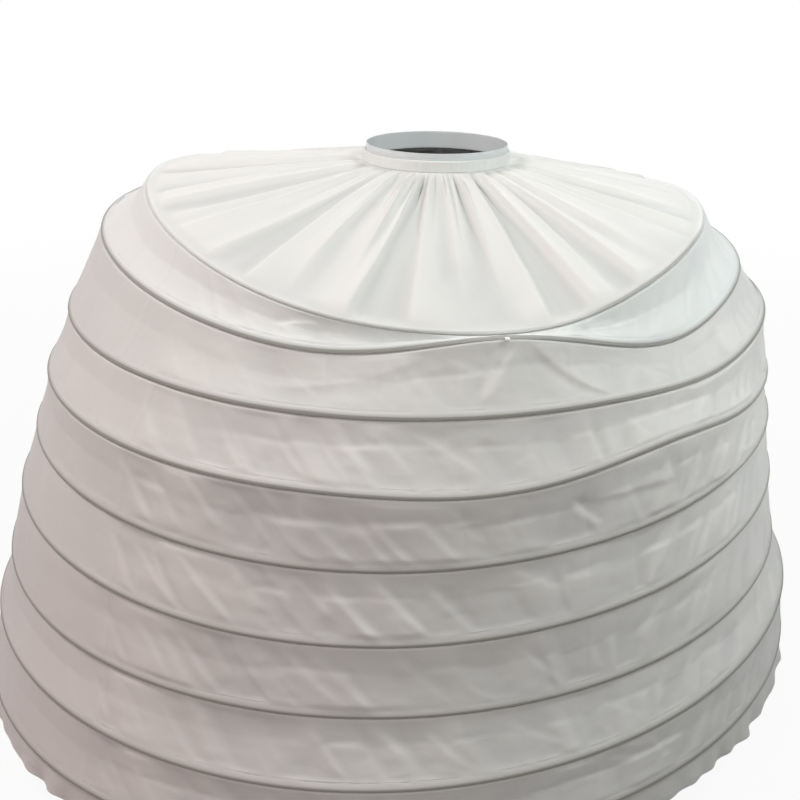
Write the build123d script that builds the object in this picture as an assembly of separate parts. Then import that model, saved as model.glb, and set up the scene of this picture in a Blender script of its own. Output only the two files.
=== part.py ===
from build123d import *
import math
import os

# A floor-length hoop petticoat, the crinoline cage that is worn under a ball gown.
# Nine steel hoops run in cloth casings. A gathered yoke hangs from the waist and carries
# the first hoop, and eight plain tiers of cloth hang the others below it, one hoop each.
# The origin is the centre of the waist opening, at the top edge of the waist elastic.
# +Z is up, the front is towards -Y and the wearer's right hand is towards -X.

# Waist
waist_radius = 119.5        # inner wall of the elastic, on a 75 cm waist
elastic_thickness = 1.6
elastic_height = 30.0
elastic_bare = 11.0         # height of elastic that shows above the waistband
waistband_thickness = 2.2
yoke_tuck = 12.0            # height of the yoke's top edge inside the waistband
yoke_drop = 2.0             # from the waistband's lower edge down to where the yoke turns out

# Cloth
cloth = 1.5                 # one layer, as thick as its seams
seam_play = 0.3             # clearance between layers that lie on each other
stitch_height = 7.5         # from the middle of a hoop to the stitch line over it
seam_allowance = 5.0        # cloth above the stitch line

# Hoops
wire_radius = 2.2           # plastic-coated spring steel
wire_gap = 1.0              # between the two ends of a hoop, inside its ferrule
ferrule_wall = 0.5
ferrule_length = 34.0
ferrule_play = 0.1          # clearance of the wire in its ferrule
casing_play = 0.35          # clearance of a ferrule in its casing
tip_radius = 2.4            # steel cap on the free end of the second hoop
tip_length = 8.0

# Profile of the hoops, at the height of their centres
first_hoop_radius = 460.0
first_hoop_depth = 109.0
tier_length = 104.5         # slant length of cloth from hoop to hoop
tier_flare_deg = (55, 32, 12, 12, 14, 14.5, 14.5, 8)

# How each hoop hangs: sideways and forward drift, and tilt, dip and lift out of level
hoop_drift = (
    (-18, -47), (-24, 12), (-32, 12), (-45, -13), (-54, -2), (-64, 1), (-70, 9), (-70, 0), (-78, -5)
)
side_tilt_deg = (-2.1, -2.5, 0.8, 0.9, 1.9, 1.9, 2.1, 2.8, 3.6)
front_dip_deg = (2.9, 3.1, 0.8, -0.7, -1.1, -0.7, 0.9, -0.5, -1.1)
side_lift = (41, 20, 6, 10, 22, 20, 3, 15, 8)
# Local bends of a hoop: height, bearing and half width
hoop_bends = {
    1: ((41, 83, 32), (-11, -63, 18)),
    2: ((44, -77, 20), (-16, -45, 16)),
    3: ((-11, -41, 16),),
    4: ((-7, -80, 15), (21, -51, 15)),
}

# Bearings of the hoops' joints, in degrees from +X towards the back
joint_bearing_deg = (-146, -77, -103, -105, 84, 97, 88, 93, 86)

# Gathers of the yoke and waves of the frill
yoke_pleats = 40
pleat_depth = 4.0
frill_length = 52.0
frill_flare_deg = 6.0
frill_waves = 40
frill_wave_depth = 5.0
# Turns a round, and size, of the sways that make the gathers and waves uneven
sways = ((5, 0.7), (9, 0.5))

# Points on a plain ring and on each wave of a waved one, and rings down the yoke
ring_points = 72
points_per_wave = 6
yoke_rings = 10

# Worked-out sizes
hoop_count = len(tier_flare_deg) + 1
casing_sides = 8
to_corner = 1 / math.cos(math.pi / casing_sides)
casing_bore = wire_radius + ferrule_play + ferrule_wall + casing_play
casing_inner = casing_bore * to_corner
casing_outer = (casing_bore + cloth) * to_corner
under_casing = casing_outer + seam_play
yoke_top_inner = waist_radius + elastic_thickness + seam_play
waistband_inner = yoke_top_inner + cloth + seam_play
waistband_outer = waistband_inner + waistband_thickness
yoke_top = yoke_drop + yoke_tuck


def hoop_profile():
    """Radius and depth of each hoop."""
    radius, depth = first_hoop_radius, first_hoop_depth
    rows = [(radius, depth)]
    for flare_deg in tier_flare_deg:
        radius += tier_length * math.sin(math.radians(flare_deg))
        depth += tier_length * math.cos(math.radians(flare_deg))
        rows.append((radius, depth))
    return rows


profile = hoop_profile()


def outwards(angle, out, up):
    """A step away from the axis and upwards."""
    return Vector(out * math.cos(angle), out * math.sin(angle), up)


def bend_height(number, angle):
    """Height of a hoop's local bends at an angle."""
    total = 0.0
    for height, bearing_deg, half_width_deg in hoop_bends.get(number, ()):
        away = (math.degrees(angle) - bearing_deg + 180) % 360 - 180
        total += height * math.exp(-((away / half_width_deg) ** 2))
    return total


def hoop_line(number, angle):
    """A point on the middle line of hoop `number`; number 0 is the top of the yoke."""
    if number == 0:
        return outwards(angle, yoke_top_inner, -elastic_height - yoke_drop)
    radius, depth = profile[number - 1]
    side_tilt = math.tan(math.radians(side_tilt_deg[number - 1]))
    front_dip = math.tan(math.radians(front_dip_deg[number - 1]))
    height = radius * (side_tilt * math.cos(angle) + front_dip * math.sin(angle)) - depth
    height += side_lift[number - 1] * math.cos(2 * angle) + bend_height(number, angle)
    return Vector(*hoop_drift[number - 1]) + outwards(angle, radius, height)


def flare_above(number, angle):
    """Lean of the cloth above a hoop, from straight down towards straight out."""
    span = hoop_line(number, angle) - hoop_line(number - 1, angle)
    run = span.X * math.cos(angle) + span.Y * math.sin(angle)
    return math.atan2(run, -span.Z)


def at_hoop(number, angle, out=0.0, along=0.0):
    """A point near a hoop: `out` from the cloth above it, and `along` that cloth upwards."""
    flare = flare_above(number, angle)
    reach = out * math.cos(flare) - along * math.sin(flare)
    rise = out * math.sin(flare) + along * math.cos(flare)
    return hoop_line(number, angle) + outwards(angle, reach, rise)


def uneven_wave(waves, angle):
    """A wave round the skirt, between -1 and 1, some of its turns wider than others."""
    sway = sum(size * math.sin(turns * angle) for turns, size in sways)
    return math.cos(waves * angle + sway)


def closed_ring(point_at, count=ring_points):
    """A closed smooth edge through `count` points, its seam at the back."""
    angles = [math.pi / 2 + 2 * math.pi * step / count for step in range(count)]
    steps = [step / count for step in range(count + 1)]
    return Edge.make_spline([point_at(angle) for angle in angles], periodic=True, parameters=steps)


def ring_solid(rings):
    """A solid that is bounded by the strips from each ring to the next, and back to the first."""
    strips = [
        Face.make_surface_from_curves(ring, rings[(index + 1) % len(rings)])
        for index, ring in enumerate(rings)
    ]
    return Solid(Shell(strips))


def hoop_ring(number, out, along):
    return closed_ring(lambda angle: at_hoop(number, angle, out, along))


def casing_rings(number):
    """The cloth round a hoop: down to it, round it, and up behind to the seam allowance."""
    turn = 2 * math.pi / casing_sides
    corners = [(1.5 - corner) * turn for corner in range(casing_sides)]
    seam_top = stitch_height + seam_allowance
    behind = -seam_play - cloth
    outside = [(cloth, stitch_height)]
    outside += [(casing_outer * math.cos(c), casing_outer * math.sin(c)) for c in corners]
    outside += [(behind, stitch_height), (behind, seam_top)]
    inside = [(-seam_play, seam_top), (-seam_play, stitch_height)]
    inside += [(casing_inner * math.cos(c), casing_inner * math.sin(c)) for c in reversed(corners)]
    inside += [(0.0, stitch_height)]
    return [hoop_ring(number, out, along) for out, along in outside + inside]


def under_layer(number):
    """Where cloth hangs from a hoop: its outside downwards, and its inside upwards."""
    seam_out = -2 * seam_play - cloth
    path = [
        (seam_out, stitch_height + seam_allowance),
        (seam_out, stitch_height),
        (-under_casing, casing_outer / 2),
        (-under_casing, -casing_outer / 3),
    ]
    outer = [hoop_ring(number, out, along) for out, along in path]
    inner = [hoop_ring(number, out - cloth, along) for out, along in reversed(path)]
    return outer, inner


def tier(number):
    """The tier of cloth that ends in the casing of a hoop."""
    outer, inner = under_layer(number - 1)
    return ring_solid(outer + casing_rings(number) + inner)


def gather_size(share):
    """How deep the yoke's pleats are, as a share of their depth, down the yoke."""
    return math.sin(math.pi * share ** 0.7)


def pleated_ring(share, out):
    """A ring of the yoke, `share` of the way from the waist to the first hoop."""
    depth = pleat_depth * gather_size(share)

    def point_at(angle):
        start = hoop_line(0, angle)
        end = at_hoop(1, angle, 0.0, stitch_height)
        flare = flare_above(1, angle)
        push = depth * uneven_wave(yoke_pleats, angle) + out
        lean = outwards(angle, push * math.cos(flare), push * math.sin(flare))
        return start + (end - start) * share + lean

    return closed_ring(point_at, yoke_pleats * points_per_wave)


def waist_ring(out, up):
    """A round ring at the top of the yoke, `out` from its inside and `up` from where it turns."""
    return closed_ring(lambda angle: hoop_line(0, angle) + outwards(angle, out, up))


def yoke():
    """The gathered cloth from inside the waistband to the first hoop."""
    shares = [(ring + 0.5) / yoke_rings for ring in range(yoke_rings)]
    outer = [waist_ring(cloth, yoke_top), waist_ring(cloth, 0.0)]
    outer += [pleated_ring(share, cloth) for share in shares]
    inner = [pleated_ring(share, 0.0) for share in reversed(shares)]
    inner += [waist_ring(0.0, -cloth), waist_ring(0.0, yoke_top)]
    return ring_solid(outer + casing_rings(1) + inner)


def frill():
    """The wavy strip of cloth below the last hoop."""
    flare = math.radians(frill_flare_deg)

    def hem_ring(out):
        def point_at(angle):
            start = at_hoop(hoop_count, angle, -under_casing - cloth, -casing_outer / 3)
            reach = frill_length * math.sin(flare) + out
            reach += frill_wave_depth * uneven_wave(frill_waves, angle)
            return start + outwards(angle, reach, -frill_length * math.cos(flare))

        return closed_ring(point_at, frill_waves * points_per_wave)

    outer, inner = under_layer(hoop_count)
    return ring_solid(outer + [hem_ring(cloth), hem_ring(0.0)] + inner)


def wire_path(number, start, end, count):
    """The middle line of a hoop between two angles."""
    angles = [start + (end - start) * step / count for step in range(count + 1)]
    return Edge.make_spline([hoop_line(number, angle) for angle in angles])


def round_section(path, radius):
    return Plane(origin=path @ 0, z_dir=path % 0) * Circle(radius)


def hoop(number):
    """A steel hoop: one round wire whose two ends meet in a ferrule."""
    radius = profile[number - 1][0]
    start = math.radians(joint_bearing_deg[number - 1]) + wire_gap / 2 / radius
    path = wire_path(number, start, start + 2 * math.pi - wire_gap / radius, ring_points)
    return sweep(round_section(path, wire_radius), path)


def ferrule(number):
    """The crimped steel tube that joins the ends of a hoop."""
    radius = profile[number - 1][0]
    middle = math.radians(joint_bearing_deg[number - 1])
    half = ferrule_length / 2 / radius
    path = wire_path(number, middle - half, middle + half, 4)
    inner = wire_radius + ferrule_play
    section = round_section(path, inner + ferrule_wall) - round_section(path, inner)
    return sweep(section, path)


def hoop_end_tip():
    """The steel cap that shows just under the casing where the second hoop is joined."""
    angle = math.radians(joint_bearing_deg[1])
    below = -casing_outer - seam_play - tip_radius
    middle = at_hoop(2, angle, 0.0, below)
    ahead = at_hoop(2, angle + math.radians(1), 0.0, below)
    barrel_length = tip_length - tip_radius
    cap = Pos(0, 0, barrel_length / 2) * Sphere(tip_radius)
    return Plane(origin=middle, z_dir=ahead - middle) * (Cylinder(tip_radius, barrel_length) + cap)


def waist_elastic():
    ring = Circle(waist_radius + elastic_thickness) - Circle(waist_radius)
    return Pos(0, 0, -elastic_height) * extrude(ring, elastic_height)


def waistband():
    ring = Circle(waistband_outer) - Circle(waistband_inner)
    return Pos(0, 0, -elastic_height) * extrude(ring, elastic_height - elastic_bare)


os.makedirs("parts", exist_ok=True)
export_step(waist_elastic(), "parts/waist_elastic.step")
export_step(waistband(), "parts/waistband.step")
export_step(yoke(), "parts/yoke.step")
for hoop_number in range(2, hoop_count + 1):
    export_step(tier(hoop_number), f"parts/tier_{hoop_number}.step")
export_step(frill(), "parts/hem_frill.step")
for hoop_number in range(1, hoop_count + 1):
    export_step(hoop(hoop_number), f"parts/hoop_{hoop_number}.step")
    export_step(ferrule(hoop_number), f"parts/ferrule_{hoop_number}.step")
export_step(hoop_end_tip(), "parts/hoop_end_tip.step")
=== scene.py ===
import math

import bpy
import numpy as np
from mathutils import Matrix, Vector


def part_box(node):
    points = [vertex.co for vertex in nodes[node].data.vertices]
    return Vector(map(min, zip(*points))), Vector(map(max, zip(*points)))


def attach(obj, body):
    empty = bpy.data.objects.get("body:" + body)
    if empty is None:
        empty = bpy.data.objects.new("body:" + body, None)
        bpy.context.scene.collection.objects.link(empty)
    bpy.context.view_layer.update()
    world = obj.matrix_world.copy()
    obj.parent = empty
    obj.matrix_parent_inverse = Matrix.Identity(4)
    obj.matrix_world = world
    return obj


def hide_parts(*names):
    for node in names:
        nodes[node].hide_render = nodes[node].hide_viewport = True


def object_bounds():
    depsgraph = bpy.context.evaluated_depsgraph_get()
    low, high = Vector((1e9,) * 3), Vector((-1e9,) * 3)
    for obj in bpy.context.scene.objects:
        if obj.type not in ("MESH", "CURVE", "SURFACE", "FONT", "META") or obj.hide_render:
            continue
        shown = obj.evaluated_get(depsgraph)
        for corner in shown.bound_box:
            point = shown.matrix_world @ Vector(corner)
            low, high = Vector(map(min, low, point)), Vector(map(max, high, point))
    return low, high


# The looks of a floor-length hoop petticoat. Every cloth piece of the skirt is one layer of
# cloth, modelled as rows of points that run round it: the row angle is the bearing about the
# waist's axis, with the front at -90 degrees and the wearer's right hand at 180 degrees.
# Lengths with no other note are in metres, and names that end in _mm are in millimetres.

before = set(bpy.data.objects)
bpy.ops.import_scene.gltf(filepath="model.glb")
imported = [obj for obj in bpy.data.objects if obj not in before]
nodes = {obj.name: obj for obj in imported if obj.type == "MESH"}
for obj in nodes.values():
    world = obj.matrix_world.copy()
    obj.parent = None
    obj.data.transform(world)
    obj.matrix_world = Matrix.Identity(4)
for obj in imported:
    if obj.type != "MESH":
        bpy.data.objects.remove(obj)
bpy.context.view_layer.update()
MM = 0.001

HOOPS = 9
TIER_COLUMNS = 840
YOKE_COLUMNS = 1000
ELASTIC_COLUMNS = 360
BAND_COLUMNS = 720
SPAN_ROWS = 31                # of a tier, between its casings
YOKE_ROWS = 58
FRILL_ROWS = 19
CASING_RADIUS = 2.85 * MM     # cloth drawn tight round the wire
FERRULE_SWELL = 0.4 * MM      # more than that where a casing passes a hoop's joint
FERRULE_HALF_LENGTH = 17 * MM
SWELL_END = 1.25              # where the swelling has gone, in half lengths of the ferrule
SWELL_EASE = 0.3              # over how many half lengths it goes
STITCH_HEIGHT = 7.5 * MM      # of a casing's seam over the middle of its hoop
SEAM_ALLOWANCE = 4.5 * MM
LAYER_STEP = 0.7 * MM         # between layers of cloth that lie on each other
YOKE_TOP_DROP = 2.0 * MM      # from the band's lower edge down to where the yoke turns out
YOKE_TOP_CLEARANCE = 0.9 * MM  # from the elastic out to the yoke's top edge
SERIES_ORDER = 24             # waves round the skirt that a hoop's bends need


def bearings(columns):
    return np.linspace(0, 2 * math.pi, columns, endpoint=False)


def smooth(x):
    """A smooth step from 0 to 1."""
    x = np.clip(x, 0, 1)
    return x * x * (3 - 2 * x)


# Lines of the frame

def series(angles):
    turns = np.arange(1, SERIES_ORDER + 1)
    waves = np.outer(angles, turns)
    return np.hstack([np.ones((len(angles), 1)), np.cos(waves), np.sin(waves)])


def vertices_of(node):
    mesh = nodes[node].data
    points = np.zeros(len(mesh.vertices) * 3, np.float32)
    mesh.vertices.foreach_get("co", points)
    return points.reshape(-1, 3).astype(float)


def middle_line(node):
    """Radius and height of a hoop's middle line as a smooth function of the bearing."""
    points = vertices_of(node)
    angles = np.arctan2(points[:, 1], points[:, 0])
    values = np.column_stack([np.hypot(points[:, 0], points[:, 1]), points[:, 2]])
    fit = np.linalg.lstsq(series(angles), values, rcond=None)[0]
    return lambda bearing: (series(bearing) @ fit).T


hoop_lines = {number: middle_line(f"hoop_{number}") for number in range(1, HOOPS + 1)}
band_low, band_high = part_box("waistband")
elastic_low, elastic_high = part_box("waist_elastic")
band_radius = (band_high.x - band_low.x) / 2
elastic_radius = (elastic_high.x - elastic_low.x) / 2
yoke_top_radius = elastic_radius + YOKE_TOP_CLEARANCE
yoke_top_height = band_low.z - YOKE_TOP_DROP


def line_of(number, angles):
    """Radius and height, at each bearing, of a hoop's middle; number 0 is the top of the yoke."""
    if number == 0:
        top = (yoke_top_radius, yoke_top_height)
        return np.stack([np.full(len(angles), value) for value in top])
    return hoop_lines[number](angles)


class Lean:
    """The cloth's direction above a hoop, at each bearing, as radius and height steps."""

    def __init__(self, number, angles):
        self.middle = line_of(number, angles)
        span = self.middle - line_of(number - 1, angles)
        flare = np.arctan2(span[0], -span[1])
        self.out = np.stack([np.cos(flare), np.sin(flare)])
        self.along = np.stack([-np.sin(flare), np.cos(flare)])

    def at(self, out, along):
        return self.middle + self.out * out + self.along * along


def joint_swell(number, angles):
    """How much the casing of a hoop swells at each bearing, over the ferrule of its joint."""
    low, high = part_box(f"ferrule_{number}")
    middle = (low + high) / 2
    away = (angles - math.atan2(middle.y, middle.x) + math.pi) % (2 * math.pi) - math.pi
    reach = np.abs(away) * math.hypot(middle.x, middle.y) / FERRULE_HALF_LENGTH
    return FERRULE_SWELL * smooth((SWELL_END - reach) / SWELL_EASE)


# Meshes

def grid(name, rows, marks=None):
    """A sheet through rows of (radius, height) at each bearing, closed round the skirt. Its marks
    say of each point how strongly it is darkened over a hoop, by the wire showing through and by
    painted shade, and how high a fold stands, which sets painted shade in its hollows."""
    rows = np.asarray(rows)
    count, _, columns = rows.shape
    angles = bearings(columns)
    points = np.stack(
        [rows[:, 0] * np.cos(angles), rows[:, 0] * np.sin(angles), rows[:, 1]], axis=2
    )
    steps = np.linalg.norm(np.diff(points, axis=0), axis=2).mean(axis=1)
    lengths = np.concatenate([[0], np.cumsum(steps)])
    row, column = np.meshgrid(np.arange(count - 1), np.arange(columns), indexing="ij")
    right = (column + 1) % columns
    faces = np.stack(
        [row * columns + column, (row + 1) * columns + column,
         (row + 1) * columns + right, row * columns + right], axis=2
    ).reshape(-1, 4)
    mesh = bpy.data.meshes.new(name)
    mesh.from_pydata(points.reshape(-1, 3), [], faces.tolist())
    mesh.polygons.foreach_set("use_smooth", np.ones(len(faces), bool))
    share = lengths / lengths[-1]
    across = np.stack([column, column, column + 1, column + 1], axis=2) / columns
    down = np.stack([share[row], share[row + 1], share[row + 1], share[row]], axis=2)
    uv = mesh.uv_layers.new(name="cloth")
    uv.data.foreach_set("uv", np.stack([across, down], axis=3).ravel())
    for kind in ("wire_and_shade", "crest"):
        values = np.broadcast_to((marks or {}).get(kind, 0.0), (count, columns))
        mark = mesh.attributes.new(kind, "FLOAT", "POINT")
        mark.data.foreach_set("value", values.astype(np.float32).ravel())
    mesh.update()
    piece = bpy.data.objects.new(name, mesh)
    bpy.context.scene.collection.objects.link(piece)
    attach(piece, "root")
    size = (2 * math.pi * float(rows[:, 0].mean()), float(lengths[-1]))
    return piece, size


def sheet(name, rows_and_marks, material_maker, replaced):
    """A cloth piece of the skirt in place of a part of the model, with its cut size given to its
    material.
    """
    rows, marks = rows_and_marks
    piece, size = grid(name, rows, marks)
    piece.data.materials.append(material_maker(name, size))
    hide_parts(replaced)
    return piece


# Wrinkles

SEEDS = {"yoke": 11, "tier": 20, "frill": 40, "elastic": 51, "band": 52, "facets": 60}


def draws(piece, number=0):
    """The random draws of a piece, the same in every run."""
    return np.random.default_rng(SEEDS[piece] + number)


def periodic_noise(rng, angles, depth, around, down, octaves=3):
    """Smooth noise of about -1 to 1 on bearings by depth, with `around` lumps a turn and
    `down` lumps over the depth, which runs from 0 to 1."""
    total = np.zeros((len(depth), len(angles)))
    size = 1.0
    for octave in range(octaves):
        cells, layers = int(around * 2 ** octave), int(down * 2 ** octave) + 2
        lattice = rng.uniform(-1, 1, (layers + 1, cells))
        x = angles / (2 * math.pi) * cells
        y = depth * (layers - 1)
        x0, y0 = np.floor(x).astype(int), np.floor(y).astype(int)
        fx, fy = smooth(x - x0), smooth(y - y0)[:, None]
        x0, x1 = x0 % cells, (x0 + 1) % cells
        top = lattice[y0][:, x0] * (1 - fx) + lattice[y0][:, x1] * fx
        low = lattice[y0 + 1][:, x0] * (1 - fx) + lattice[y0 + 1][:, x1] * fx
        total += (top * (1 - fy) + low * fy) * size
        size *= 0.5
    return total


def ring_noise(rng, angles, around, octaves=2):
    """Noise that depends on the bearing alone."""
    return periodic_noise(rng, angles, np.zeros(1), around, 1, octaves)[0]


# A crease's section, in widths of the crease
STEEP_SIDE = 0.65
VALLEY_PLACE = 2.2
VALLEY_WIDTH = 1.6
VALLEY_DEPTH = 0.4            # as a share of the ridge's height


def fold(distance, width, blunt=0.22, slope=2.3):
    """A crease's section: a sharp ridge, steep into a valley on one side and a long flat slope
    on the other."""
    side = np.where(distance > 0, STEEP_SIDE, slope) * width
    ridge = np.exp(blunt - np.sqrt((distance / side) ** 2 + blunt ** 2))
    valley = np.exp(-(((distance - VALLEY_PLACE * width) / (VALLEY_WIDTH * width)) ** 2))
    return ridge - VALLEY_DEPTH * valley


# Where the skirt was folded in its pack, as bearings: its upright creases
PACK_CREASES = (-105.3, -96.8, -85.7, -69.0, -53.5, 4.0, 43.0, 78.0, 101.0, 137.0, 166.0)
PACK_LEVEL = 0.39             # share of a tier's depth where its level pack crease runs
PACK_CREASE_WIDTH = 3.0
UPRIGHT_CHANCE = 0.6          # that a tier shows one of the upright creases
TURN_CHANCE = 0.12            # that a drag line turns level at the pack crease
FRONT_TURN_CHANCE = 0.4


class Folds:
    """A field of heights in millimetres over a piece of cloth, that creases are added to.
    Places on it are a bearing in degrees and a share of the way down; lengths, widths, heights
    and spacings are in millimetres, and the spacings of drag lines in degrees."""

    def __init__(self, rng, angles, share, depth_mm, girth_mm):
        self.rng = rng
        self.angles, self.share = angles, share
        self.depth, self.girth = depth_mm, girth_mm
        self.around = angles / (2 * math.pi) * girth_mm
        self.down = share * depth_mm
        self.heights = np.zeros((len(share), len(angles)))

    def crease(self, bearing, share, slant_deg, length, width, height, bow=0.0, facing=1):
        """A crease from a place on, in a direction that turns downwards from level."""
        slant = math.radians(slant_deg)
        half = length / 2
        middle_around = bearing / 360 * self.girth + half * math.cos(slant)
        middle_down = share * self.depth + half * math.sin(slant)
        offset = (self.around - middle_around + self.girth / 2) % self.girth - self.girth / 2
        columns = np.nonzero(np.abs(offset) < half + 5 * width)[0]
        x = offset[columns][None, :]
        y = (self.down - middle_down)[:, None]
        run = (x * math.cos(slant) + y * math.sin(slant)) / half
        off = -x * math.sin(slant) + y * math.cos(slant) + bow * half * (run ** 2 - 0.4)
        taper = smooth(1.9 * (1 - np.abs(run)))
        section = fold(facing * off, width * (0.6 + 0.4 * taper), blunt=0.5, slope=3.6)
        self.heights[:, columns] += height * taper * section

    def drags(self, first, last, spacing, slant_deg, spread_deg, lengths, widths, heights,
              facing=1, top=(0.0, 0.22)):
        """Drag lines that start near the upper hoop, all along a stretch of bearings. Some of
        them turn level where the skirt was folded."""
        rng = self.rng
        bearing = first
        while bearing < last:
            share, slant = rng.uniform(*top), rng.normal(slant_deg, spread_deg)
            length, width, height = (rng.uniform(*ends) for ends in (lengths, widths, heights))
            bow = rng.uniform(-0.06, 0.06)
            self.crease(bearing, share, slant, length, width, height, bow, facing)
            if rng.random() < (FRONT_TURN_CHANCE if -120 < bearing < -30 else TURN_CHANCE):
                down = (PACK_LEVEL - share) * self.depth
                turned = bearing + down / math.tan(math.radians(slant)) / self.girth * 360
                way, up = (0, -1) if slant < 90 else (180, 1)
                self.crease(
                    turned, PACK_LEVEL, way + rng.normal(0, 3),
                    length * 0.7, width * 0.8, height * 0.6, facing=up,
                )
            bearing += spacing * rng.uniform(0.5, 1.5)

    def facets(self, slants_deg, spacing, height, strength):
        """Flat facets side by side, between slanted lines whose slant is given at each bearing."""
        lean = 1 / np.tan(np.radians(slants_deg))
        place = self.around[None, :] - self.down[:, None] * lean[None, :]
        edges = np.cumsum(self.rng.uniform(0.35, 1.65, int(self.girth / spacing)))
        edges *= self.girth / edges[-1]
        tops = self.rng.uniform(-height, height, len(edges))
        self.heights += strength * np.interp(place, edges, tops, period=self.girth)

    def noise(self, height, around_mm, down_lumps, octaves=3):
        self.heights += height * periodic_noise(
            self.rng, self.angles, self.share, self.girth / around_mm, down_lumps, octaves
        )


def between(angles, first_deg, last_deg, soft_deg=6.0):
    """1 for bearings between two, falling to 0 outside them."""
    middle, half = (first_deg + last_deg) / 2, (last_deg - first_deg) / 2
    away = np.abs((np.degrees(angles) - middle + 180) % 360 - 180)
    return smooth((half - away) / soft_deg + 0.5)


def pack_creases(folds, level):
    """The level and upright creases that folding left in a tier."""
    rng = folds.rng
    bearing = -180.0
    while bearing < 180:
        length = rng.uniform(35, 130)
        column = int((bearing % 360) / 360 * len(folds.angles))
        strength = 0.2 + 0.8 * between(np.radians([bearing]), -112, -48)[0]
        folds.crease(
            bearing, level[column], slant_deg=rng.normal(0, 1.5), length=length,
            width=PACK_CREASE_WIDTH, height=strength * rng.uniform(0.5, 1.1),
            bow=rng.uniform(-0.02, 0.02), facing=-1,
        )
        bearing += (length + rng.uniform(-8, 50)) / folds.girth * 360
    for bearing in PACK_CREASES:
        if rng.random() < UPRIGHT_CHANCE:
            front = -110 < bearing < -50
            folds.crease(
                bearing + rng.normal(0, 0.3 if front else 2), rng.uniform(-0.1, 0.15),
                slant_deg=rng.normal(90, 4 if front else 12),
                length=folds.depth * rng.uniform(0.55, 1.1), width=PACK_CREASE_WIDTH,
                height=rng.uniform(0.4, 1.1) * rng.choice((-1, 1)), bow=rng.uniform(-0.03, 0.03),
            )


# How the cloth's facets slant round the skirt: bearings, and the slants there
FACET_BEARINGS = (-180, -133, -100, -75, -55, -20, 40, 66, 122, 150)
FACET_SLANTS = (92, 62, 50, 62, 116, 122, 104, 76, 60, 80)
FACET_STRENGTHS = {2: 0.5, 3: 0.7}  # of the tiers with weaker facets than the others


def tier_facets(number, angles, share, depth_mm, girth_mm, level):
    """Heights in millimetres of the flat facets that a tier was crushed into in its pack. Over
    the level pack crease they are plain only on the wearer's right."""
    folds = Folds(draws("facets", number), angles, share, depth_mm, girth_mm)
    slants = np.interp(np.degrees(angles), FACET_BEARINGS, FACET_SLANTS, period=360)
    below = smooth((share[:, None] - level[None, :]) / 0.1 + 0.5)
    above = 0.3 + 0.6 * between(angles, -140, -90, 16)
    size = FACET_STRENGTHS.get(number, 1.0)
    strength = above + (1 - above) * below
    folds.facets(slants, spacing=27, height=2.1 * size, strength=strength)
    folds.facets(180 - slants, spacing=60, height=1.3 * size, strength=1.0)
    return folds.heights


# How strong the drag lines of two zones are on each tier; 1 on the tiers that aren't named
RIGHT_STRENGTHS = {2: 0.12, 3: 0.25, 4: 0.6, 5: 1.2, 6: 1.2, 8: 0.8, 9: 0.5}
LEFT_STRENGTHS = {2: 0.5, 3: 0.5, 4: 0.5, 9: 0.7}
# Drag lines round a tier: first and last bearing, spacing, slant and its spread, lengths, widths,
# heights, the side that is steep, and the tiers' strengths
DRAG_ZONES = (
    (-133, -90, 4.6, 46, 5, (80, 140), (3.2, 5.5), (1.2, 2.8), -1, RIGHT_STRENGTHS),
    (-56, -22, 5.5, 125, 6, (80, 130), (4, 7.5), (1.8, 3.4), 1, LEFT_STRENGTHS),
    (-88, -58, 9.0, 60, 20, (60, 120), (3.5, 6), (0.6, 1.6), -1, {}),
    (-22, 62, 10.0, 108, 14, (60, 120), (5, 9), (0.8, 2.2), 1, {}),
    (66, 122, 6.0, 58, 9, (60, 120), (4, 7), (0.8, 2.4), -1, {}),
    (128, 222, 8.0, 88, 20, (50, 110), (4, 7), (0.6, 1.9), 1, {}),
)
SMALL_CREASES = 34
UPPER_SMALL_CREASES = 24      # on tiers 2 and 3
# The plainest creases of single tiers: bearing, share down, slant, length, width, height, bow
SINGLE_CREASES = {
    2: ((-107, 0.1, 150, 90, 6, 2.5, 0.1),),
    3: (
        (-76, 0.0, 36, 170, 5, 3.0, 0.03),
        (-77, 0.0, 128, 110, 5.5, 2.2),
        (-80, 0.02, 112, 90, 5, 1.6),
        (-116, 0.75, -13, 290, 9, 2.2, 0.05),
        (-34, 0.1, 100, 90, 9, 4.0),
    ),
    5: ((-71.5, 0.26, 42, 72, 4.2, -3.0), (-71, 0.3, 6, 200, 4.5, 2.0)),
}
FOLD_STRENGTH = 0.95
LOW_FOLD_SHARE = 0.85         # of that, on tiers 7 to 9
SIDE_SEAMS = (-131.0, 46.0)   # bearings of the seams that close each tier's cloth
UPPER_SEAM_SHIFT = -8         # of these on tiers 2 and 3


def seam_heights(away):
    """Heights of a side seam in millimetres: its ridge, with the allowance's hollow beside it."""
    return 0.9 * (np.exp(-((away / 2.6) ** 2)) - 0.5 * np.exp(-(((away - 7) / 4.0) ** 2)))


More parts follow.
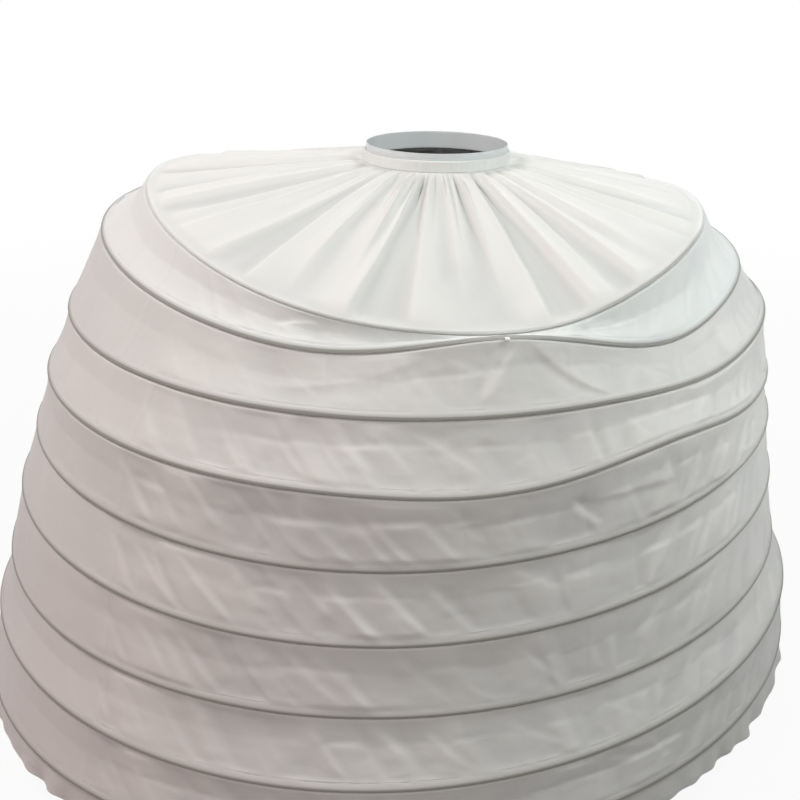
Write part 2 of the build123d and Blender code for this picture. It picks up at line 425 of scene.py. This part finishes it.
def tier_folds(number, rng, angles, share, depth_mm, girth_mm, level):
    """Heights in millimetres of a tier's folds and creases, over rows by bearings."""
    folds = Folds(rng, angles, share, depth_mm, girth_mm)
    pack_creases(folds, level)
    for *zone, heights, facing, strengths in DRAG_ZONES:
        strong = strengths.get(number, 1.0)
        folds.drags(*zone, [height * strong for height in heights], facing)
    for _ in range(UPPER_SMALL_CREASES if number < 4 else SMALL_CREASES):
        folds.crease(
            rng.uniform(-118, 215), rng.uniform(0.1, 0.8), slant_deg=rng.uniform(0, 180),
            length=rng.uniform(22, 60), width=rng.uniform(2.5, 5),
            height=rng.uniform(0.3, 0.9) * rng.choice((-1, 1)), bow=rng.uniform(-0.2, 0.2),
            facing=rng.choice((-1, 1)),
        )
    if number == 2:
        folds.drags(-84, -63, 2.1, 88, 9, (50, 110), (3, 5), (1.4, 3.0), top=(-0.3, 0.1))
    for crease in SINGLE_CREASES.get(number, ()):
        folds.crease(*crease)
    folds.heights *= FOLD_STRENGTH * (LOW_FOLD_SHARE if number > 6 else 1.0)
    folds.heights += tier_facets(number, angles, share, depth_mm, girth_mm, level)
    folds.noise(0.9, around_mm=150, down_lumps=1.5)
    folds.noise(0.25, around_mm=30, down_lumps=5, octaves=2)
    left = (1 - share[:, None]) * depth_mm
    top = share[:, None] * depth_mm
    calm = 1 - 0.75 * between(angles, -178, -131, 10)
    puckers = ring_noise(rng, angles, girth_mm / 14)
    puckers += 0.5 * ring_noise(rng, angles, girth_mm / 45, 1)
    heights = folds.heights * calm * smooth(top / 8) * smooth(left / 12)
    heights += 0.55 * puckers * np.exp(-left / 9) * smooth(left / 3)
    heights += 0.35 * puckers[::-1] * np.exp(-top / 7) * smooth(top / 3)
    for bearing in SIDE_SEAMS:
        place = bearing + (UPPER_SEAM_SHIFT if number < 4 else rng.normal(0, 0.4))
        away = ((np.degrees(angles) - place + 180) % 360 - 180) / 360 * girth_mm
        sway = 2.5 * np.sin(share[:, None] * 5 + number)
        heights += seam_heights(away + sway) * smooth(top / 5)
    return heights


# Cloth pieces

# Rows of the layer behind a casing: shares of the layer's way in, and wire radii upwards
BEHIND_ROWS = ((0.8, 1.1), (0.98, 0.5), (1.02, -0.3), (0.85, -1.1), (0.4, -1.9))


def behind_casing(number, angles):
    """Rows of the layer that hangs behind a casing: from its seam allowance down past the hoop."""
    lean = Lean(number, angles)
    seam = -1.6 * LAYER_STEP
    back = -CASING_RADIUS - joint_swell(number, angles) - LAYER_STEP
    rows = [lean.at(seam, STITCH_HEIGHT + SEAM_ALLOWANCE), lean.at(seam, STITCH_HEIGHT)]
    return rows + [lean.at(back * way, up * CASING_RADIUS) for way, up in BEHIND_ROWS]


# Angles of the casing's rows about the wire, from outwards, and how much each row is darkened: the
# grey wire showing through, and painted shade that makes the casing a dark line, strongest on its
# upper outside, which faces the light
CASING_TURNS = (62, 35, 14, -14, -50, -90, -130, -178, -210, -238)
CASING_WIRE_AND_SHADE = (0.6, 1.0, 1.0, 0.9, 0.6, 0.45, 0.4, 0, 0, 0)


def casing(number, angles, rng):
    """Rows of the cloth rolled round a hoop, from the stitch line outside to the seam inside."""
    lean = Lean(number, angles)
    wobble = 1 + 0.05 * ring_noise(rng, angles, 150)
    radius = CASING_RADIUS * wobble + joint_swell(number, angles)
    rows = [lean.at(LAYER_STEP * 0.5, STITCH_HEIGHT)]
    for turn_deg in CASING_TURNS:
        turn = math.radians(turn_deg)
        rows.append(lean.at(radius * math.cos(turn), radius * math.sin(turn)))
    rows.append(lean.at(-LAYER_STEP * 0.5, STITCH_HEIGHT))
    rows.append(lean.at(-LAYER_STEP * 0.5, STITCH_HEIGHT + SEAM_ALLOWANCE))
    return rows


CREST_HEIGHT = 2.6 * MM       # a fold this high is marked as three quarters of a full crest; the marks set the painted shade in the hollows beside crests


def marked(upper, span, lower, heights, wire_and_shade_strength=1.0):
    """All rows of a piece that ends in a casing, and its marks."""
    wire_and_shade = np.zeros(len(upper) + len(span) + len(lower))
    # The casing's rows carry the marks for the wire showing through and for the painted shade over
    # it
    wire_and_shade[-len(CASING_WIRE_AND_SHADE) - 2:-2] = CASING_WIRE_AND_SHADE
    crest = np.zeros((len(wire_and_shade), heights.shape[1]))
    crest[len(upper):len(upper) + len(span)] = np.tanh(heights / CREST_HEIGHT)
    marks = {"wire_and_shade": wire_and_shade[:, None] * wire_and_shade_strength, "crest": crest}
    return np.array(upper + span + lower), marks


TIER_CUT = 92                 # percentile of the spans between its hoops that a tier is cut to
MOST_SLACK = 0.6              # as a share of the span
ARC_SLACK = 0.375             # square of a flat arc's sag over its span, for each unit of slack
MOST_SAG = 26 * MM
SAG_SHARE = 0.3               # of a flat arc's sag, as the rest of the slack goes into folds
SECOND_SAG_SHARE = 0.45       # the same on tier 2
POCKET_DEPTH = 12 * MM        # of tier 2's fallen-in place at the wearer's right front


def tier_rows(number, rng):
    """Rows of a tier: behind the upper casing, down the span with its folds, round its hoop."""
    angles = bearings(TIER_COLUMNS)
    upper = behind_casing(number - 1, angles)
    lower = casing(number, angles, rng)
    start, end = upper[-1], lower[0]
    chord = np.hypot(*(end - start))
    slack = np.clip(np.percentile(chord, TIER_CUT) / chord - 1, 0, MOST_SLACK)
    sag = np.minimum(chord * np.sqrt(ARC_SLACK * slack), MOST_SAG)
    sag *= SECOND_SAG_SHARE if number == 2 else SAG_SHARE
    share = np.linspace(0, 1, SPAN_ROWS + 2)[1:-1]
    out = Lean(number, angles).out
    girth_mm = 2 * math.pi * float(end[0].mean()) / MM
    level = PACK_LEVEL + 0.05 * ring_noise(rng, angles, 22, 1)
    hollow = (1.3 + 1.5 * ring_noise(rng, angles, 26)) * MM
    hollow = np.maximum(hollow, 0.2 * MM) * (0.25 + 0.75 * between(angles, -118, -40, 20))
    pocket = POCKET_DEPTH * between(angles, -109, -88) if number == 2 else np.zeros(TIER_COLUMNS)
    depth_mm = float(chord.mean()) / MM
    heights = tier_folds(number, rng, angles, share, depth_mm, girth_mm, level) * MM
    rows = []
    for index, t in enumerate(share):
        bend = np.where(t < level, t / level, (1 - t) / (1 - level))
        point = start + (end - start) * t
        inward = (hollow + 0.35 * sag) * bend + pocket * math.sin(math.pi * t ** 0.75)
        point = point + out * (heights[index] - inward)
        point[1] -= 0.5 * sag * math.sin(math.pi * t)
        rows.append(point)
    return marked(upper, rows, lower, heights)


# Gathers of the yoke: small ones that the band gives, and long folds
GATHERS = 84
LONG_FOLDS = 47
YOKE_TOP_GIRTH_RADIUS_MM = 120  # about the waist's radius, where the long folds start


def gather_heights(rng, angles, share, length_mm):
    """Heights in millimetres of the yoke's gathers, over rows by bearings."""
    edges = (np.arange(GATHERS) + rng.uniform(-0.3, 0.3, GATHERS)) / GATHERS * 2 * math.pi
    edges = np.append(edges, edges[0] + 2 * math.pi)
    turn = np.where(angles < edges[0], angles + 2 * math.pi, angles)
    pleat = np.clip(np.searchsorted(edges, turn, side="right") - 1, 0, GATHERS - 1)
    place = np.clip((turn - edges[pleat]) / (edges[pleat + 1] - edges[pleat]), 0, 1)
    ridge = np.sin(math.pi * place) ** 0.8 - 0.6
    reach = rng.uniform(0.16, 0.7, GATHERS)[pleat]
    size = rng.uniform(0.5, 1.2, GATHERS)[pleat]
    field = np.zeros((len(share), len(angles)))
    for row, t in enumerate(share):
        swell = 3.2 + 3.6 * smooth(t / 0.1)
        field[row] = swell * size * np.clip(1 - t / reach, 0, 1) * ridge
    for index in range(LONG_FOLDS):
        bearing = (index + rng.uniform(-0.35, 0.35)) / LONG_FOLDS * 2 * math.pi
        offset = (angles - bearing + math.pi) % (2 * math.pi) - math.pi
        drift = rng.uniform(-0.06, 0.06)
        length = rng.uniform(0.85, 1.6)
        height = rng.uniform(5.0, 10.5)
        facing = rng.choice((-1, 1))
        for row, t in enumerate(share):
            across = (offset - drift * t) * (YOKE_TOP_GIRTH_RADIUS_MM + share[row] * length_mm)
            fade = (1 - smooth((t - length + 0.5) / 0.5)) * smooth((t + 0.03) / 0.14)
            field[row] += height * fade * fold(facing * across, 2.4 + 7.0 * t)
    field += 1.8 * periodic_noise(rng, angles, share, 30, 1, 2) * share[:, None]
    field += 0.35 * periodic_noise(rng, angles, share, 120, 8, 2)
    down = (share * length_mm)[:, None]
    left = (1 - share[:, None]) * length_mm
    hem = 0.7 * ring_noise(rng, angles, 200) * np.exp(-left / 14)
    return field * smooth((down + 2) / 8) * smooth(left / 16) + hem * smooth(left / 3)


def step_mm(out, up):
    return np.array([[out * MM], [up * MM]])


# The yoke's top edge, as steps out and up in millimetres: its allowance inside the band, and the
# way round the band's lower edge
YOKE_ALLOWANCE_MM = ((0.0, 14.0), (0.0, 8.0), (0.0, 3.0))
YOKE_MOUTH_MM = ((-1.2, 0.0), (-0.3, -0.5))
YOKE_START_MM = (0.8, -1.3)


def yoke_rows(rng):
    """Rows of the yoke: from inside the band over its gathers, and round the first hoop."""
    angles = bearings(YOKE_COLUMNS)
    lean = Lean(1, angles)
    lower = casing(1, angles, rng)
    start, end = line_of(0, angles), lower[0]
    chord = np.hypot(*(end - start))
    share = np.linspace(0, 1, YOKE_ROWS + 2)[1:-1] ** 1.2
    heights = gather_heights(rng, angles, share, float(chord.mean()) / MM) * MM
    mouth = np.array([[band_radius - yoke_top_radius], [band_low.z - yoke_top_height]])
    upper = [start + step_mm(*step) for step in YOKE_ALLOWANCE_MM]
    upper += [start + mouth + step_mm(*step) for step in YOKE_MOUTH_MM]
    start = start + mouth + step_mm(*YOKE_START_MM)
    rows = [
        start + (end - start) * t + lean.out * heights[index] for index, t in enumerate(share)
    ]
    # Painted shade: hoop 1's casing is darkened strongly only at bearings -62 to -28 degrees, and
    # faintly elsewhere
    hoop_line_shade = 0.06 + 0.7 * between(angles, -62, -28, 10)
    return marked(upper, rows, lower, heights, hoop_line_shade)


FRILL_LENGTH = 42 * MM
FRILL_FLARE = 5 * MM
FRILL_WAVE_OUT = 5.5 * MM
FRILL_WAVE_DOWN = 2.2 * MM
FRILL_UNEVENNESS = 2.0 * MM
FRILL_CRUMPLE = 1.0 * MM
HEM_ROLL_MM = 1.1             # radius of the frill's rolled hem


def frill_rows(rng):
    """The wavy strip below the last hoop, with its narrow rolled hem."""
    angles = bearings(TIER_COLUMNS)
    upper = behind_casing(HOOPS, angles)
    start = upper[-1]
    sway = 1.5 * np.sin(5 * angles) + 1.1 * np.sin(9 * angles + 1) + 0.8 * np.sin(14 * angles + 2)
    wave = 0.7 * np.cos(37 * angles + 2 * sway)
    wave = wave + 0.8 * np.cos(67 * angles + 3 * np.sin(7 * angles))
    size = np.clip(1 + 0.8 * ring_noise(rng, angles, 17), 0.1, 2)
    share = np.linspace(0, 1, FRILL_ROWS + 1)[1:]
    crumple = periodic_noise(rng, angles, share, 130, 2, 3)
    rows = []
    for index, t in enumerate(share):
        reach = FRILL_FLARE * t + FRILL_WAVE_OUT * wave * size * t ** 1.3
        reach = reach + FRILL_CRUMPLE * crumple[index] * t
        drop = -FRILL_LENGTH * t + FRILL_UNEVENNESS * t * np.sin(13 * angles + 1)
        drop = drop + FRILL_WAVE_DOWN * wave * size * t ** 2
        rows.append(start + np.stack([reach, drop]))
    hem = rows[-1]
    for turn in np.linspace(0, 1.5 * math.pi, 7)[1:]:
        roll = (HEM_ROLL_MM * (math.cos(turn) - 1), -HEM_ROLL_MM * math.sin(turn))
        rows.append(hem + MM * np.stack([np.full(len(angles), step) for step in roll]))
    return np.array(upper + rows), None


# Materials

def new_material(name):
    material = bpy.data.materials.new(name)
    material.use_nodes = True
    shader = material.node_tree.nodes["Principled BSDF"]
    return material, material.node_tree, shader


def add_node(tree, kind, inputs=None, **settings):
    node = tree.nodes.new(kind)
    for key, value in settings.items():
        setattr(node, key, value)
    for key, value in (inputs or {}).items():
        if isinstance(value, bpy.types.NodeSocket):
            tree.links.new(value, node.inputs[key])
        else:
            node.inputs[key].default_value = value
    return node


def maths(tree, operation, first, second=0.0):
    return add_node(tree, "ShaderNodeMath", {0: first, 1: second}, operation=operation).outputs[0]


def scaled(tree, vector, factors):
    inputs = {0: vector, 1: factors}
    return add_node(tree, "ShaderNodeVectorMath", inputs, operation="MULTIPLY").outputs[0]


def mix_colours(tree, share, first, second, blend="MIX"):
    inputs = {0: share, 6: first, 7: second}
    return add_node(tree, "ShaderNodeMix", inputs, data_type="RGBA", blend_type=blend).outputs[2]


def seen_by_eye(tree):
    """1 for rays that show a surface to the camera, also in gloss or through glass; 0 for light."""
    path = add_node(tree, "ShaderNodeLightPath")
    seen = maths(tree, "MAXIMUM", path.outputs["Is Camera Ray"], path.outputs["Is Glossy Ray"])
    return maths(tree, "MAXIMUM", seen, path.outputs["Is Transmission Ray"])


def cloth_coordinates(tree, size):
    """The cut cloth's own coordinates in metres: round the skirt, and down it."""
    uv = add_node(tree, "ShaderNodeUVMap", uv_map="cloth")
    return scaled(tree, uv.outputs[0], (size[0], size[1], 1))


def stretched_noise(tree, place, scale, detail=3.0):
    """Noise with its own scale round and down the cloth, in lumps per metre."""
    inputs = {"Vector": scaled(tree, place, (*scale, 1)), "Scale": 1.0, "Detail": detail}
    return add_node(tree, "ShaderNodeTexNoise", inputs).outputs[0]


WIRE_AND_SHADE_TINT = (0.37, 0.36, 0.335, 1)  # of the thin cloth drawn tight over a grey wire: the wire showing through, and painted shade of the casing's dark line
HOLLOW_SHADE_TINT = (0.845, 0.85, 0.86)   # painted shade in a hollow, beside a fold's crest
# The same painted shade in the yoke's hollows, stronger
YOKE_HOLLOW_SHADE_TINT = (0.76, 0.775, 0.785)
THREAD_PITCH = 0.9 * MM
CLOTH_ROUGHNESS = 0.55
CLOTH_SHEEN = 0.25
CLOTH_SHEEN_ROUGHNESS = 0.45
CLOTH_SPECULAR = 0.35


def cloth_material(colour, shade, hollow_shade_tint=HOLLOW_SHADE_TINT):
    """A maker of fine plain-woven cloth in one colour, whose tone drifts a little towards shade,
    with painted shade over the hoops' casings and in the hollows beside folds.
    """

    def make(name, size):
        material, tree, shader = new_material(name + "_cloth")
        place = cloth_coordinates(tree, size)
        drift = stretched_noise(tree, place, (6, 9))
        slub_across = stretched_noise(tree, place, (60, 1400), 2.0)
        slub_down = stretched_noise(tree, place, (1400, 60), 2.0)
        slubs = maths(tree, "ADD", slub_across, slub_down)
        drift_share = maths(tree, "MULTIPLY", drift, 0.75)
        tone = maths(tree, "ADD", drift_share, maths(tree, "MULTIPLY", slubs, 0.14))
        plain = mix_colours(tree, tone, (*colour, 1), (*shade, 1))
        # Painted shade over each hoop: the casing is darkened as the wire showing through and as
        # the shade of its dark line
        wire_and_shade = add_node(tree, "ShaderNodeAttribute", attribute_name="wire_and_shade").outputs["Fac"]
        wire_and_shade_toned = mix_colours(tree, wire_and_shade, plain, WIRE_AND_SHADE_TINT, "MULTIPLY")
        # Painted shade in the hollows beside folds, darker the lower a place's fold mark
        crest = add_node(tree, "ShaderNodeAttribute", attribute_name="crest").outputs["Fac"]
        hollow = maths(tree, "MULTIPLY", maths(tree, "SUBTRACT", 1.0, crest), 0.5)
        hollow_shaded = mix_colours(tree, hollow, wire_and_shade_toned, (*hollow_shade_tint, 1), "MULTIPLY")
        tree.links.new(hollow_shaded, shader.inputs["Base Color"])
        parts = add_node(tree, "ShaderNodeSeparateXYZ", {0: place})
        thread = 2 * math.pi / THREAD_PITCH
        warp = maths(tree, "SINE", maths(tree, "MULTIPLY", parts.outputs[0], thread))
        weft = maths(tree, "SINE", maths(tree, "MULTIPLY", parts.outputs[1], thread))
        weave = maths(tree, "MULTIPLY", warp, weft)
        crumple = stretched_noise(tree, place, (55, 70), 4.0)
        weave_height = maths(tree, "MULTIPLY", weave, 0.05)
        height = maths(tree, "ADD", weave_height, maths(tree, "MULTIPLY", slubs, 0.25))
        height = maths(tree, "ADD", height, maths(tree, "MULTIPLY", crumple, 1.1))
        bump = add_node(
            tree, "ShaderNodeBump", {"Height": height, "Strength": 0.5, "Distance": 0.6 * MM}
        )
        tree.links.new(bump.outputs[0], shader.inputs["Normal"])
        rough = maths(tree, "ADD", maths(tree, "MULTIPLY", slubs, 0.12), CLOTH_ROUGHNESS - 0.12)
        tree.links.new(rough, shader.inputs["Roughness"])
        shader.inputs["Sheen Weight"].default_value = CLOTH_SHEEN
        shader.inputs["Sheen Roughness"].default_value = CLOTH_SHEEN_ROUGHNESS
        shader.inputs["Specular IOR Level"].default_value = CLOTH_SPECULAR
        return material

    return make


def metal_material(name, colour, metallic, roughness, coat=0.0):
    """A metal or coated surface with a fine grain in its colour, gloss and height."""
    material, tree, shader = new_material(name)
    place = add_node(tree, "ShaderNodeTexCoord").outputs["Object"]
    inputs = {"Vector": place, "Scale": 900.0, "Detail": 3.0}
    grain = add_node(tree, "ShaderNodeTexNoise", inputs).outputs[0]
    darker = (*(0.82 * c for c in colour), 1)
    mixed = mix_colours(tree, grain, (*colour, 1), darker)
    tree.links.new(mixed, shader.inputs["Base Color"])
    rough = maths(tree, "ADD", maths(tree, "MULTIPLY", grain, 0.2), roughness - 0.1)
    tree.links.new(rough, shader.inputs["Roughness"])
    bump = add_node(
        tree, "ShaderNodeBump", {"Height": grain, "Strength": 0.2, "Distance": 0.1 * MM}
    )
    tree.links.new(bump.outputs[0], shader.inputs["Normal"])
    shader.inputs["Metallic"].default_value = metallic
    shader.inputs["Coat Weight"].default_value = coat
    return material


yoke_cloth = cloth_material((0.89, 0.885, 0.875), (0.85, 0.85, 0.835), YOKE_HOLLOW_SHADE_TINT)
painted_light_cloth = cloth_material((0.94, 0.96, 0.955), (0.905, 0.925, 0.92))
tier_cloth = cloth_material((0.85, 0.84, 0.825), (0.79, 0.78, 0.765))
painted_shade_cloth = cloth_material((0.815, 0.81, 0.795), (0.76, 0.755, 0.74))
band_cloth = cloth_material((0.97, 0.98, 0.96), (0.92, 0.94, 0.92))
elastic_cloth = cloth_material((0.86, 0.90, 0.91), (0.78, 0.83, 0.85))

# Tiers 2 and 3 have lighter and darker copies of the tiers' cloth, which were fitted to the photo:
# painted light on tier 2 and painted shade on tier 3
TIER_MAKERS = {2: painted_light_cloth, 3: painted_shade_cloth}


# Waist

RIB_HEIGHT = 0.25 * MM        # also the depth that a band's outside lies in from its radius
ELASTIC_RIBS = 9
ELASTIC_THICKNESS = 1.6 * MM
BAND_CLEARANCE = 0.05 * MM    # from the elastic out to the band
BAND_PUCKERS_MM = 0.5


def waist_rows(radius_out, radius_in, low, high, columns, rng, ribs=0, puckers_mm=0.0):
    """A closed band of cloth: up its outside, over the top, down its inside and under it."""
    angles = bearings(columns)
    thickness = radius_out - radius_in
    corner = min(thickness / 2, 1.0 * MM)
    levels = np.linspace(low + corner, high - corner, max(8, ribs * 8 + 1))
    ribbing = np.zeros(len(levels))
    if ribs:
        ribbing = RIB_HEIGHT * np.cos(np.linspace(0, 2 * math.pi * ribs, len(levels)))
    pucker = puckers_mm * MM * ring_noise(rng, angles, 90)

    def level_row(radius, level):
        return np.stack([np.full(columns, radius), np.full(columns, level)])

    def rounded_edge(middle, first_turn):
        turns = np.linspace(first_turn + 0.2, first_turn + math.pi - 0.2, 5)
        return [
            level_row(
                (radius_out + radius_in) / 2 + corner * 0.8 * math.cos(turn),
                middle + corner * math.sin(turn),
            )
            for turn in turns
        ]

    rows = []
    for level, rib in zip(levels, ribbing):
        body = math.sin(math.pi * (level - low) / (high - low))
        rows.append(level_row(radius_out - RIB_HEIGHT + rib + pucker * body, level))
    rows += rounded_edge(high - corner, 0.0)
    for level in np.linspace(levels[-1], levels[0], max(4, len(levels) // 6)):
        rows.append(level_row(radius_in + 0.1 * MM, level))
    rows += rounded_edge(low + corner, math.pi)
    rows.append(rows[0])
    return np.array(rows)


def make_skirt():
    sheet(
        "yoke_gathered", yoke_rows(draws("yoke")), yoke_cloth,
        "yoke",
    )
    for number in range(2, HOOPS + 1):
        sheet(
            f"tier_{number}_cloth", tier_rows(number, draws("tier", number)),
            TIER_MAKERS.get(number, tier_cloth),
            f"tier_{number}",
        )
    sheet(
        "frill_cloth", frill_rows(draws("frill")), tier_cloth,
        "hem_frill",
    )


def make_waist():
    rows = waist_rows(
        elastic_radius, elastic_radius - ELASTIC_THICKNESS, elastic_low.z, elastic_high.z,
        ELASTIC_COLUMNS, draws("elastic"), ribs=ELASTIC_RIBS,
    )
    elastic, size = grid("elastic_ribbed", rows)
    elastic.data.materials.append(elastic_cloth("elastic", size))
    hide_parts("waist_elastic")
    rows = waist_rows(
        band_radius, elastic_radius + BAND_CLEARANCE, band_low.z, band_high.z,
        BAND_COLUMNS, draws("band"), puckers_mm=BAND_PUCKERS_MM,
    )
    band, size = grid("waistband_cloth", rows)
    band.data.materials.append(band_cloth("waistband", size))
    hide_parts("waistband")


def dress_frame():
    """Coated steel on the hoops, and bare steel on the ferrules and the hoop's end tip."""
    coated = metal_material("coated_steel", (0.80, 0.80, 0.78), 0.0, 0.35, coat=0.3)
    plain = metal_material("plain_steel", (0.75, 0.75, 0.76), 1.0, 0.25)
    for name, node in nodes.items():
        if name.startswith(("ferrule", "hoop")):
            is_hoop = name.startswith("hoop_") and name != "hoop_end_tip"
            node.data.materials.clear()
            node.data.materials.append(coated if is_hoop else plain)


# Stage, light and camera

CAMERA_PLACE = (0.0, -2.070, 0.333)
CAMERA_PITCH_DEG = 21.31
CAMERA_YAW_DEG = 1.56
CAMERA_ROLL_DEG = -0.87
CAMERA_CLIP = (0.05, 200)
LENS_MM = 54.0
SENSOR_MM = 36


def make_camera():
    camera = bpy.data.objects.new("camera", bpy.data.cameras.new("camera"))
    bpy.context.scene.collection.objects.link(camera)
    camera.location = CAMERA_PLACE
    turn = (
        Matrix.Rotation(math.radians(CAMERA_YAW_DEG), 3, "Z")
        @ Matrix.Rotation(math.radians(90 - CAMERA_PITCH_DEG), 3, "X")
        @ Matrix.Rotation(math.radians(-CAMERA_ROLL_DEG), 3, "Z")
    )
    camera.rotation_mode = "QUATERNION"
    camera.rotation_quaternion = turn.to_quaternion()
    camera.data.sensor_width = SENSOR_MM
    camera.data.lens = LENS_MM
    camera.data.clip_start, camera.data.clip_end = CAMERA_CLIP
    bpy.context.scene.camera = camera


# Square lamps: name, place, target, side, watts, colour, and the beam's spread in degrees. The
# gridded one's narrow beam is aimed at the right side's upper tiers, since the lower ones fall
# into shade in the photo
LAMPS = (
    ("left", (-1.65, -0.40, 1.40), (0.0, 0.0, -0.35), 0.6, 25, (1.0, 0.93, 0.895), 180),
    ("right", (1.60, -0.48, 1.40), (0.0, 0.0, -0.35), 0.6, 20, (0.94, 1.0, 0.975), 180),
    ("right_grid", (2.2, -1.1, 0.25), (0.62, -0.25, -0.33), 0.4, 0.30, (0.97, 1.0, 0.98), 28),
    ("front", (0.0, -2.35, 1.00), (0.0, 0.0, -0.30), 1.0, 16.5, (1.0, 0.975, 0.92), 180),
    ("back", (0.2, 2.10, 1.10), (0.0, 0.0, -0.40), 1.0, 19, (1.0, 1.0, 1.0), 180),
    ("low_left", (-2.0, -1.6, -0.65), (-0.4, -0.4, -0.7), 1.0, 5, (1.0, 0.50, 0.44), 180),
)


def make_area_light(name, place, target, side, power, colour, spread_deg):
    light = bpy.data.objects.new(name, bpy.data.lights.new(name, "AREA"))
    bpy.context.scene.collection.objects.link(light)
    light.data.shape = "RECTANGLE"
    light.data.size = light.data.size_y = side
    light.data.energy = power
    light.data.spread = math.radians(spread_deg)
    light.data.color = colour
    light.location = place
    light.rotation_mode = "QUATERNION"
    light.rotation_quaternion = (Vector(target) - Vector(place)).to_track_quat("-Z", "Y")


FLOOR_GAP = 0.02              # below the skirt
FLOOR_REACH = 60.0
# The floor's paint: as it is seen, and as it lights the skirt from below
FLOOR_SEEN = (0.75, 0.75, 0.75)
FLOOR_BOUNCE = (0.16, 0.155, 0.15)
# The floor's glow as it is seen: its shares near the skirt and far off, and between which
# distances it changes
GLOW_SHARES = (0.93, 1.0)
GLOW_DISTANCES = (1.2, 4.0)
WHITE = (1, 1, 1, 1)
WORLD_LIGHT = (0.13, 0.13, 0.13, 1)


def make_stage():
    floor_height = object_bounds()[0].z - FLOOR_GAP
    mesh = bpy.data.meshes.new("floor")
    corners = [
        (x * FLOOR_REACH, y * FLOOR_REACH, floor_height)
        for x, y in ((-1, -1), (1, -1), (1, 1), (-1, 1))
    ]
    mesh.from_pydata(corners, [], [(0, 1, 2, 3)])
    floor = bpy.data.objects.new("floor", mesh)
    bpy.context.scene.collection.objects.link(floor)
    material, tree, shader = new_material("floor_paint")
    shader.inputs["Roughness"].default_value = 0.9
    glow = add_node(tree, "ShaderNodeEmission", {"Color": WHITE, "Strength": 1.0})
    seen = seen_by_eye(tree)
    paint = mix_colours(tree, seen, (*FLOOR_BOUNCE, 1), (*FLOOR_SEEN, 1))
    tree.links.new(paint, shader.inputs["Base Color"])
    place = add_node(tree, "ShaderNodeTexCoord").outputs["Object"]
    away = add_node(tree, "ShaderNodeVectorMath", {0: place}, operation="LENGTH")
    limits = dict(enumerate((*GLOW_DISTANCES, *GLOW_SHARES), start=1))
    far = add_node(tree, "ShaderNodeMapRange", {"Value": away.outputs["Value"], **limits})
    share = maths(tree, "MULTIPLY", seen, far.outputs[0])
    mixed = add_node(
        tree, "ShaderNodeMixShader", {0: share, 1: shader.outputs[0], 2: glow.outputs[0]}
    )
    output = tree.nodes["Material Output"]
    tree.links.new(mixed.outputs[0], output.inputs["Surface"])
    mesh.materials.append(material)


def make_world():
    world = bpy.data.worlds.new("studio")
    bpy.context.scene.world = world
    world.use_nodes = True
    tree = world.node_tree
    background = tree.nodes["Background"]
    colour = mix_colours(tree, seen_by_eye(tree), WORLD_LIGHT, WHITE)
    tree.links.new(colour, background.inputs["Color"])


make_camera()
make_skirt()
make_waist()
dress_frame()
make_stage()
make_world()
for lamp in LAMPS:
    make_area_light(*lamp)
bpy.context.scene.view_settings.view_transform = "Standard"
